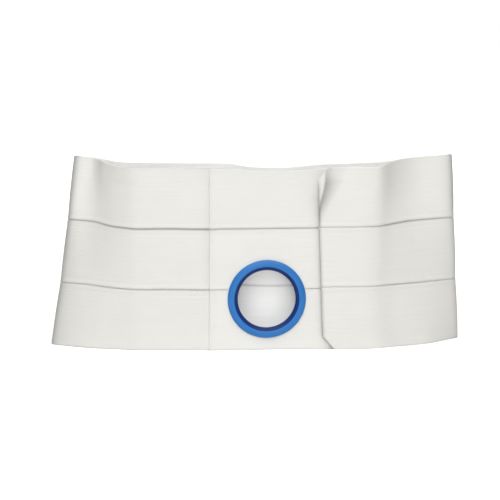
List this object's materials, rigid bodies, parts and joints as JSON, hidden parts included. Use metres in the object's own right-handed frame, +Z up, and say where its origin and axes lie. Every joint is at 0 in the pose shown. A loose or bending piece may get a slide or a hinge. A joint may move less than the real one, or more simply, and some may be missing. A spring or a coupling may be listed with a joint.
{
  "type": "ostomy support belt",
  "caption": "Wide elastic waist belt of sewn strips, fastened as a standing loop by a front flap, with a moulded ring round the pouch opening.",
  "frame": {"origin": "middle of the box round the belt, on the surface that it stands on", "axes": "+X along the belt to the right as seen from the front, +Y from the front panel to the back, +Z up"},
  "size_m": [0.512, 0.11, 0.231],
  "materials": {
    "woven_elastic": "woven elastic, off-white",
    "panel_cloth": "firm woven elastic, off-white",
    "ring_plastic": "moulded plastic, satin blue",
    "hook_tape": "hook tape, off-white"
  },
  "bodies": {
    "root": {"elastic_bottom_strip": "woven_elastic", "elastic_middle_strip": "woven_elastic", "elastic_top_strip": "woven_elastic", "panel_bottom_strip": "panel_cloth", "panel_middle_strip": "panel_cloth", "panel_top_strip": "panel_cloth", "pouch_ring": "ring_plastic", "hook_patch": "hook_tape"}
  },
  "joints": []
}
